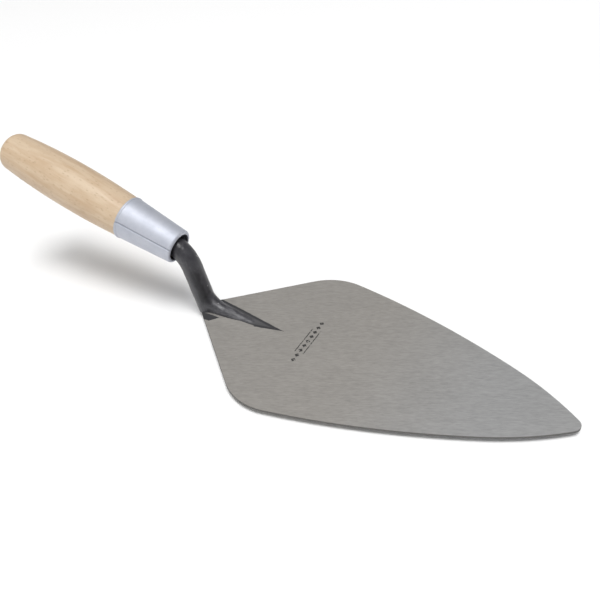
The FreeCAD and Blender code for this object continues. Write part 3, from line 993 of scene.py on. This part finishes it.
# ======================================== pieces ========================================
@dataclass
class Blade:
    """The ground steel blade: a flat pointed plate that swells a little where the tongue is laid in."""
    lines: TrowelLines
    length: float = 228.6 * MM
    width: float = 116.5 * MM
    heel_angle: float = math.radians(42.1)
    heel_nose_radius: float = 4.0 * MM
    shoulder_radius: float = 33.4 * MM
    side_radius: float = 500 * MM
    nose_radius: float = 168 * MM
    nose_length: float = 38.7 * MM
    toe_radius: float = 5.0 * MM
    foot_setback: float = 8.0 * MM
    chamfer: float = 0.20 * MM
    under_chamfer: float = 0.12 * MM
    columns: int = 28
    heel_step: float = 2.5 * MM
    swell_height: float = 0.9 * MM
    swell_reach: float = 5.0 * MM
    swell_half_width: float = 4.6 * MM
    swell_fade: float = 0.75
    swell_steepness: float = 2.2

    def side_arcs(self, angle: float, shoulder: Point) -> tuple[float, Point, float, Point]:
        """The two long arcs of the edge, for a guess at where the toe's arc ends.

        Args:
            angle: Direction in which the toe's arc ends.
            shoulder: Centre of the shoulder's arc.

        Returns:
            How far the side's arc misses the shoulder's, the centre of the nose's arc, the direction in
            which the two long arcs meet, and the centre of the side's arc.
        """
        toe_end = self.length - self.foot_setback
        reach = self.nose_radius - self.toe_radius
        centre = (toe_end - self.toe_radius - reach * math.cos(angle), -reach * math.sin(angle))
        meet = math.acos((toe_end - self.nose_length - centre[0]) / self.nose_radius)
        step = self.side_radius - self.nose_radius
        side = (centre[0] - step * math.cos(meet), centre[1] - step * math.sin(meet))
        miss = math.dist(side, shoulder) - (self.side_radius - self.shoulder_radius)
        return miss, centre, meet, side

    def half_outline(self) -> list[Point]:
        """The left edge of the blade, made of arcs that run smoothly into each other.

        Returns:
            Points from the heel's nose to the toe, with Y zero at both ends.
        """
        apex, square = -self.foot_setback, self.heel_angle + math.pi / 2
        nose = apex + self.heel_nose_radius / math.sin(self.heel_angle)
        rise = self.width / 2 - self.shoulder_radius
        shoulder = (apex + (self.shoulder_radius + rise * math.cos(self.heel_angle))
                    / math.sin(self.heel_angle), rise)
        toe = (apex + self.length - self.toe_radius, 0.0)
        low, high = math.radians(20), math.radians(75)
        past_at_low = self.side_arcs(low, shoulder)[0] > 0
        for _ in range(50):
            middle = (low + high) / 2
            past = self.side_arcs(middle, shoulder)[0] > 0
            low, high = (middle, high) if past == past_at_low else (low, middle)
        _, centre, meet, side = self.side_arcs(low, shoulder)
        leave = math.atan2(shoulder[1] - side[1], shoulder[0] - side[0])
        points = arc_points((nose, 0.0), self.heel_nose_radius, math.pi, square, 10)
        heel_end = arc_points(shoulder, self.shoulder_radius, square, leave, 26)
        points += even_profile([points[-1], heel_end[0]], self.heel_step)[1:-1]
        points += heel_end + arc_points(side, self.side_radius, leave, meet, 44)[1:]
        points += arc_points(centre, self.nose_radius, meet, low, 22)[1:]
        return points + arc_points(toe, self.toe_radius, low, 0.0, 10)[1:]

    @staticmethod
    def outward(outline: Sequence[Point]) -> list[Vector]:
        """Directions out of the blade, square to its edge.

        Args:
            outline: The left edge from heel to toe.

        Returns:
            A unit vector for each point.
        """
        last = len(outline) - 1
        normals = []
        for i in range(len(outline)):
            before, after = outline[max(i - 1, 0)], outline[min(i + 1, last)]
            normals.append(Vector((before[1] - after[1], after[0] - before[0])).normalized())
        normals[0], normals[last] = Vector((-1, 0)), Vector((1, 0))
        return normals

    def swell(self, x: float, y: float) -> float:
        """Height of the soft rise beside the tongue.

        Args:
            x: Distance towards the toe.
            y: Distance to the left.

        Returns:
            The height above the flat top.
        """
        tongue = self.lines.tongue_length
        along = min(max(x, 0.0), tongue)
        half_width = self.swell_half_width * math.sqrt(max(1 - along / (tongue + MM), 0.0))
        away = math.hypot(x - along, max(abs(y) - half_width, 0.0))
        fade = 1 - self.swell_fade * along / tongue
        return self.swell_height * fade * math.exp(-(away / self.swell_reach) ** 2 * self.swell_steepness)

    def rows(self, mesh: bmesh.types.BMesh, inset: float, height: Callable[[float, float], float],
             columns: int) -> list[Vertices]:
        """Rows of vertices from the left edge to the right edge, at every station of the outline.

        Args:
            mesh: Mesh that the vertices are added to.
            inset: Distance of the outer vertices inside the outline.
            height: Gives a vertex's Z from its X and Y.
            columns: Number of steps across a row.

        Returns:
            The rows, of which the first and the last are single points.
        """
        outline = self.half_outline()
        rows = []
        for (x, y), out in zip(outline, self.outward(outline)):
            x, y = x - inset * out.x, max(y - inset * out.y, 0.0)
            steps = columns if y > TOUCHING else 0
            spread = [y * math.cos(math.pi * k / columns) for k in range(steps + 1)]
            rows.append([mesh.verts.new((x, across, height(x, across))) for across in spread])
        return rows

    def build(self) -> bpy.types.Object:
        """Make the blade.

        Returns:
            The piece that stands for the blade.
        """
        thickness = self.lines.blade_thickness
        mesh = bmesh.new()
        top = self.rows(mesh, self.chamfer, lambda x, y: thickness + self.swell(x, y), self.columns)
        under = self.rows(mesh, self.under_chamfer, lambda _x, _y: 0.0, 2)
        upper_edge = self.rows(mesh, 0.0, lambda _x, _y: thickness - self.chamfer, 1)
        lower_edge = self.rows(mesh, 0.0, lambda _x, _y: self.under_chamfer, 1)
        for rows in (top, under):
            for first, second in zip(rows, rows[1:]):
                skin_rows(mesh, first, second)
        loops = [[r[0] for r in rows] + [r[-1] for r in reversed(rows[1:-1])]
                 for rows in (top, upper_edge, lower_edge, under)]
        for upper, lower in zip(loops, loops[1:]):
            skin_rows(mesh, upper + upper[:1], lower + lower[:1])
        finish = GroundSteel(thickness, self.lines.tongue_length)
        return finish_piece("blade_plate", mesh, "blade", finish.material())


@dataclass
class Shank:
    """The forged shank: leg, bend, tongue and tang, with the soft blends and unevenness of hand forging."""
    lines: TrowelLines
    bend_radius: float = 20 * MM
    tongue_rise: float = 8.1 * MM
    tongue_root_radius: float = 5.3 * MM
    tongue_tip_radius: float = 2.95 * MM
    tang_length: float = 62 * MM
    tang_root_radius: float = 4.5 * MM
    tang_tip_radius: float = 2.5 * MM
    segments: int = 56
    foot_depth: float = 2 * MM
    voxel: float = 0.42 * MM
    gusset_reach: float = 14 * MM
    gusset_inset: float = 0.05 * MM
    crotch_place: Point = (7.5 * MM, 6.2 * MM)
    crotch_reach: float = 7.5 * MM
    crotch_passes: int = 40
    lumps: tuple[Point, ...] = ((5.5 * MM, 0.10 * MM), (1.6 * MM, 0.03 * MM))
    skin_inset: float = 0.06 * MM

    @property
    def tongue_axis_height(self) -> float:
        """Height of the tongue's axis where it leaves the leg."""
        return self.lines.blade_thickness + self.tongue_rise - self.tongue_root_radius

    def bar(self) -> list[Section]:
        """Sections of the round bar from below the foot to the tenon.

        Returns:
            Centre, direction of travel and radius of each section.
        """
        lines = self.lines
        turn = math.pi / 2 - lines.leg_lean - lines.handle_rake
        run = self.bend_radius * math.tan(turn / 2)
        up, back = -lines.downward, lines.rearward
        leg = lines.knee.z / math.cos(lines.leg_lean)
        foot = lines.knee + lines.downward * (leg + self.foot_depth)
        low, high = lines.knee - up * run, lines.knee + back * run
        side = Vector((-math.cos(lines.leg_lean), 0, -math.sin(lines.leg_lean)))
        centre = low + side * self.bend_radius
        line = [(foot.lerp(low, k / 16), up) for k in range(16)]
        for k in range(21):
            swing = Matrix.Rotation(-turn * k / 20, 3, "Y")
            line.append((centre + swing @ (low - centre), swing @ up))
        seat = lines.knee + back * lines.seat_reach
        line += [(high.lerp(seat, k / 4), back) for k in range(1, 5)]
        return [(point, ahead, lines.bar_radius) for point, ahead in line]

    def tongue(self) -> list[Section]:
        """Sections of the drawn-down taper whose crest runs out on the blade.

        Returns:
            Centre, direction and radius of each section.
        """
        start = Vector((0, 0, self.tongue_axis_height))
        end = Vector((self.lines.tongue_length, 0, self.lines.blade_thickness - self.tongue_tip_radius))
        upright, thinning = Vector((-1, 0, 0)), self.tongue_tip_radius - self.tongue_root_radius
        return [(start.lerp(end, k / 24), upright, self.tongue_root_radius + thinning * k / 24)
                for k in range(25)]

    def gusset(self) -> list[Section]:
        """Sections of the curved flow of metal that fills the crotch between the leg and the tongue.

        Returns:
            Centre, direction and radius of each section.
        """
        lines = self.lines
        up = -lines.downward
        upper = lines.knee + lines.downward * ((lines.knee.z - self.gusset_reach) / up.z)
        fall = (self.tongue_rise - self.tongue_root_radius + self.tongue_tip_radius) / lines.tongue_length
        corner = Vector((0, 0, self.tongue_axis_height))
        lower = Vector((self.gusset_reach, 0, self.tongue_axis_height - fall * self.gusset_reach))
        narrowing = (self.tongue_root_radius - self.tongue_tip_radius) / lines.tongue_length
        last = self.tongue_root_radius - narrowing * self.gusset_reach
        sections = []
        for k in range(21):
            t = k / 20
            centre = upper.lerp(corner, t).lerp(corner.lerp(lower, t), t)
            ahead = (corner - upper).lerp(lower - corner, t).normalized()
            radius = lines.bar_radius + (last - lines.bar_radius) * t - self.gusset_inset
            sections.append((centre, ahead, radius))
        return sections

    def fuse(self, mesh: bmesh.types.BMesh) -> bmesh.types.BMesh:
        """Weld the overlapping solids into one even skin.

        Args:
            mesh: Mesh of closed, overlapping solids, which is freed here.

        Returns:
            One closed mesh of even small faces.
        """
        bmesh.ops.recalc_face_normals(mesh, faces=mesh.faces)
        data = bpy.data.meshes.new("shank rough")
        mesh.to_mesh(data)
        mesh.free()
        rough = bpy.data.objects.new("shank rough", data)
        bpy.context.scene.collection.objects.link(rough)
        remesh = rough.modifiers.new("skin", "REMESH")
        remesh.mode = "VOXEL"
        remesh.voxel_size = self.voxel
        fused = rough.evaluated_get(bpy.context.evaluated_depsgraph_get()).to_mesh()
        result = bmesh.new()
        result.from_mesh(fused)
        bpy.data.objects.remove(rough)
        bpy.data.meshes.remove(data)
        return result

    @staticmethod
    def relax(mesh: bmesh.types.BMesh, vertices: Vertices, factor: float, passes: int) -> None:
        """Even out vertices by moving each towards the middle of its neighbours.

        Args:
            mesh: Mesh that the vertices belong to.
            vertices: Vertices to move.
            factor: Share of the way that each moves in a pass.
            passes: Number of passes.
        """
        for _ in range(passes):
            bmesh.ops.smooth_vert(mesh, verts=vertices, factor=factor, use_axis_x=True, use_axis_y=True,
                                  use_axis_z=True)

    def forge(self, mesh: bmesh.types.BMesh) -> None:
        """Ease the crotch, roughen the skin as hammering leaves it and cut the foot flush.

        Args:
            mesh: The fused shank.
        """
        top = self.lines.blade_thickness
        self.relax(mesh, list(mesh.verts), 0.5, 2)
        crotch = Vector((self.crotch_place[0], 0, top + self.crotch_place[1]))
        near = [v for v in mesh.verts if (v.co - crotch).length < self.crotch_reach]
        self.relax(mesh, near, 0.6, self.crotch_passes)
        mesh.normal_update()
        for vertex in mesh.verts:
            lump = sum(noise.noise(vertex.co / size) * height for size, height in self.lumps)
            vertex.co += vertex.normal * (lump - self.skin_inset)
        geometry = list(mesh.verts) + list(mesh.edges) + list(mesh.faces)
        cut = bmesh.ops.bisect_plane(mesh, geom=geometry, plane_co=(0, 0, top), plane_no=(0, 0, 1),
                                     clear_inner=True)
        rim = [e for e in cut["geom_cut"] if isinstance(e, bmesh.types.BMEdge)]
        bmesh.ops.contextual_create(mesh, geom=rim)

    def build(self) -> bpy.types.Object:
        """Make the shank.

        Returns:
            The piece that stands for the shank.
        """
        mesh = bmesh.new()
        for sections in (self.bar(), self.tongue(), self.gusset()):
            add_tube(mesh, sections, self.segments)
        mesh = self.fuse(mesh)
        self.forge(mesh)
        seat = self.lines.seat_reach - self.lines.rim_reach
        tang = [(0.0, seat), (self.tang_root_radius, seat),
                (self.tang_tip_radius, seat + self.tang_length), (0.0, seat + self.tang_length)]
        added = add_lathe(mesh, tang, 32)
        bmesh.ops.transform(mesh, matrix=self.lines.rim_matrix(), verts=added)
        finish = DarkPaint(self.lines.leg_lean)
        return finish_piece("shank_forging", mesh, "shank", finish.material())


@dataclass
class Ferrule:
    """The tapered tube, with its lip rolled in round the shank, its rear rim and its closed seam."""
    lines: TrowelLines
    mouth_radius: float = 8.5 * MM
    mouth_rounding: float = 0.3 * MM
    lip_rounding: float = 1.6 * MM
    rim_width: float = 1.4 * MM
    rim_proud: float = 0.3 * MM
    seam_angle: float = math.radians(-68)
    seam_width: float = 0.50 * MM
    seam_depth: float = 0.45 * MM
    wall_step: float = 2 * MM
    rim_step: float = 0.05 * MM
    segments: int = 360

    def profile(self) -> list[Point]:
        """The closed outline of the ferrule's wall.

        Returns:
            Points as radius and distance behind the rim.
        """
        lines, front = self.lines, -self.lines.ferrule_length
        rear, wall, taper = lines.neck_radius, lines.ferrule_wall, lines.ferrule_taper
        bead = arc_points((rear, -self.rim_width / 2), self.rim_width / 2, math.pi / 2, -math.pi / 2, 8)
        rim = [(rear + (r - rear) * self.rim_proud / (self.rim_width / 2), s) for r, s in bead]
        roll_centre = (lines.ferrule_front_radius - self.lip_rounding, front + self.lip_rounding)
        roll = arc_points(roll_centre, self.lip_rounding, 0.0, -math.pi / 2, 10)
        lip_centre = (self.mouth_radius + self.mouth_rounding, front + self.mouth_rounding)
        lip = arc_points(lip_centre, self.mouth_rounding, -math.pi / 2, -math.pi, 4)
        shoulder = (rear - taper * self.rim_width, -self.rim_width - self.rim_step)
        outside = even_profile([shoulder, roll[0]], self.wall_step)
        inside = [(self.mouth_radius, front + wall),
                  (lines.ferrule_front_radius - wall + taper * wall, front + wall), (rear - wall, 0.0)]
        return rim + outside[:-1] + roll + lip + inside

    def with_seam(self, radius: float, height: float, angle: float) -> float:
        """Radius with the seam's groove taken out of the outer wall.

        Args:
            radius: Radius of the profile.
            height: Distance behind the rim.
            angle: Direction round the axis.

        Returns:
            The radius to use.
        """
        lines = self.lines
        outer = lines.neck_radius + lines.ferrule_taper * height
        if radius < outer - 0.6 * lines.ferrule_wall:
            return radius
        away = abs((angle - self.seam_angle + math.pi) % (2 * math.pi) - math.pi) * radius
        return radius - self.seam_depth * math.exp(-(away / self.seam_width) ** 2)

    def build(self) -> bpy.types.Object:
        """Make the ferrule.

        Returns:
            The piece that stands for the ferrule.
        """
        mesh = bmesh.new()
        add_lathe(mesh, self.profile(), self.segments, self.with_seam)
        bmesh.ops.transform(mesh, matrix=self.lines.rim_matrix(), verts=mesh.verts)
        finish = ZincPlate(self.lines, self.seam_angle)
        return finish_piece("ferrule_tube", mesh, "ferrule", finish.material())


@dataclass
class Handle:
    """The turned beech handle: barrel, rounded butt, tenon under the ferrule and the tang's bore."""
    lines: TrowelLines
    length: float = 94.6 * MM
    belly_radius: float = 14.625 * MM
    belly_station: float = 41 * MM
    neck_gap: float = 0.25 * MM
    tenon_gap: float = 0.1 * MM
    butt_radius: float = 11.95 * MM
    dome_rise: float = 3.5 * MM
    butt_rounding: float = 5.0 * MM
    bore_radius: float = 4.6 * MM
    bore_depth: float = 39 * MM
    sanding: float = 0.04 * MM
    sanding_length: float = 30 * MM
    sanding_fineness: float = 1.7
    stations: int = 60
    segments: int = 128

    def barrel(self, station: float) -> float:
        """Radius of the grip.

        Args:
            station: Distance behind the ferrule's rim.

        Returns:
            The radius there.
        """
        if station < self.belly_station:
            return crowned(station, self.belly_station, self.belly_radius, 0.0,
                           self.lines.neck_radius - self.neck_gap)
        return crowned(station, self.belly_station, self.belly_radius, self.length - self.dome_rise,
                       self.butt_radius)

    def butt(self) -> list[Point]:
        """The rounded end of the grip: a small arc, then the shallow dome.

        Returns:
            Points from the barrel to the axis.
        """
        dome = (self.butt_radius ** 2 + self.dome_rise ** 2) / (2 * self.dome_rise)
        centre = self.length - dome
        rounding = self.butt_rounding
        # the rounding's centre lies one rounding inside the barrel and one inside the dome
        low, high = self.length - 4 * rounding, self.length - rounding / 2
        for _ in range(40):
            middle = (low + high) / 2
            inside = math.hypot(self.barrel(middle) - rounding, middle - centre) < dome - rounding
            low, high = (middle, high) if inside else (low, middle)
        hub = (self.barrel(low) - rounding, low)
        meet = math.atan2(hub[1] - centre, hub[0])
        return (arc_points(hub, rounding, 0.0, meet, 12)
                + arc_points((0.0, centre), dome, meet, math.pi / 2, 12)[1:-1] + [(0.0, self.length)])

    def sanded(self, radius: float, height: float, angle: float) -> float:
        """Radius with the faint unevenness of a sanded turning.

        Args:
            radius: Radius of the profile.
            height: Distance behind the rim.
            angle: Direction round the axis.

        Returns:
            The radius to use.
        """
        if height <= 0 or radius < self.bore_radius * 1.01:
            return radius
        around = Vector((math.cos(angle), math.sin(angle), height / self.sanding_length))
        return radius - self.sanding * (noise.noise(around * self.sanding_fineness) + 1)

    def build(self) -> bpy.types.Object:
        """Make the handle.

        Returns:
            The piece that stands for the handle.
        """
        lines = self.lines
        end = self.butt()
        stations = [end[0][1] * k / self.stations for k in range(self.stations)]
        tenon = lines.neck_radius - lines.ferrule_wall - self.tenon_gap
        profile = [(0.0, self.bore_depth), (self.bore_radius * 0.5, self.bore_depth),
                   (self.bore_radius, -lines.tenon_length),
                   (tenon - lines.ferrule_taper * lines.tenon_length, -lines.tenon_length), (tenon, 0.0)]
        profile += [(self.barrel(s), s) for s in stations] + end
        mesh = bmesh.new()
        add_lathe(mesh, profile, self.segments, self.sanded)
        bmesh.ops.transform(mesh, matrix=lines.rim_matrix(), verts=mesh.verts)
        finish = TurnedBeech(lines.handle_rake)
        return finish_piece("handle_grip", mesh, "handle", finish.material())


# ======================================== studio ========================================
@dataclass(frozen=True)
class SoftLight:
    """One square soft light."""
    name: str
    place: tuple[float, float, float]
    size: float
    power: float

    def hang(self, aim: Vector) -> None:
        """Add the light to the scene.

        Args:
            aim: Point that the light faces.
        """
        data = bpy.data.lights.new(self.name, "AREA")
        data.shape, data.size, data.energy = "SQUARE", self.size, self.power
        lamp = bpy.data.objects.new(self.name, data)
        facing = (aim - Vector(self.place)).to_track_quat("-Z", "Y").to_matrix().to_4x4()
        lamp.matrix_world = Matrix.Translation(self.place) @ facing
        bpy.context.scene.collection.objects.link(lamp)


@dataclass(frozen=True)
class Studio:
    """A pale floor, soft lights, an even sky and the camera."""
    camera_place: tuple[float, float, float] = (0.2279, -0.2414, 0.2588)
    azimuth: float = math.radians(33.551)
    elevation: float = math.radians(38.393)
    roll: float = math.radians(-5.993)
    lens: float = 40.30
    sensor: float = 36.0
    aim: tuple[float, float, float] = (0.03, 0, 0.02)
    lights: tuple[SoftLight, ...] = (SoftLight("overhead", (1.05, -1.10, 6.0), 2.8, 330.0),
                                     SoftLight("front fill", (-0.4, -1.6, 1.1), 1.2, 4.0))
    high_sky: float = 0.28
    low_sky: float = 0.45
    floor_size: float = 12.0
    floor_drop: float = 3.0 * MM
    floor_colour: Colour = (0.95, 0.95, 0.95, 1)

    def place_camera(self) -> None:
        """Put the camera at its viewing angle and make it the scene's own."""
        a, e = self.azimuth, self.elevation
        back = Vector((math.sin(a) * math.cos(e), -math.cos(a) * math.cos(e), math.sin(e)))
        right = Vector((math.cos(a), math.sin(a), 0))
        turn = Matrix.Rotation(self.roll, 3, back)
        facing = Matrix((turn @ right, turn @ back.cross(right), back)).transposed().to_4x4()
        data = bpy.data.cameras.new("camera")
        data.lens, data.sensor_width, data.clip_start = self.lens, self.sensor, 0.01
        camera = bpy.data.objects.new("camera", data)
        camera.matrix_world = Matrix.Translation(self.camera_place) @ facing
        bpy.context.scene.collection.objects.link(camera)
        bpy.context.scene.camera = camera

    def lay_floor(self) -> None:
        """Lay a wide plain floor just below the blade."""
        mesh = bmesh.new()
        bmesh.ops.create_grid(mesh, x_segments=4, y_segments=4, size=self.floor_size)
        data = bpy.data.meshes.new("floor")
        mesh.to_mesh(data)
        mesh.free()
        floor = bpy.data.objects.new("floor", data)
        floor.location.z = -self.floor_drop
        bpy.context.scene.collection.objects.link(floor)
        start = MaterialStart.named("floor")
        start.set(Base_Color=self.floor_colour, Roughness=1.0, Specular_IOR_Level=0.0)
        data.materials.append(start.material)

    def set_sky(self) -> None:
        """Make an even white sky, a little brighter near the horizon."""
        world = bpy.data.worlds.new("studio")
        world.use_nodes = True
        wiring = Wiring(world.node_tree)
        _, _, rise = wiring.axes(wiring.add("ShaderNodeTexCoord").outputs["Generated"])
        background = world.node_tree.nodes["Background"]
        wiring.feed(background.inputs["Color"], (1, 1, 1, 1))
        strength = wiring.ramp(rise, 0.15, 0.45, self.low_sky, self.high_sky)
        wiring.feed(background.inputs["Strength"], strength)
        bpy.context.scene.world = world

    def build(self) -> None:
        """Set up floor, sky, lights and camera."""
        self.lay_floor()
        self.set_sky()
        for light in self.lights:
            light.hang(Vector(self.aim))
        self.place_camera()
        bpy.context.scene.view_settings.view_transform = "Standard"


def main() -> None:
    """Build the pieces in order, then the studio."""
    logging.basicConfig(level=logging.INFO, format="%(name)s: %(message)s")
    lines = TrowelLines()
    for assembly in (Blade(lines), Shank(lines), Ferrule(lines), Handle(lines)):
        piece = assembly.build()
        LOG.info("%s has %d faces", piece.name, len(piece.data.polygons))
    Studio().build()


if __name__ == "__main__":
    main()
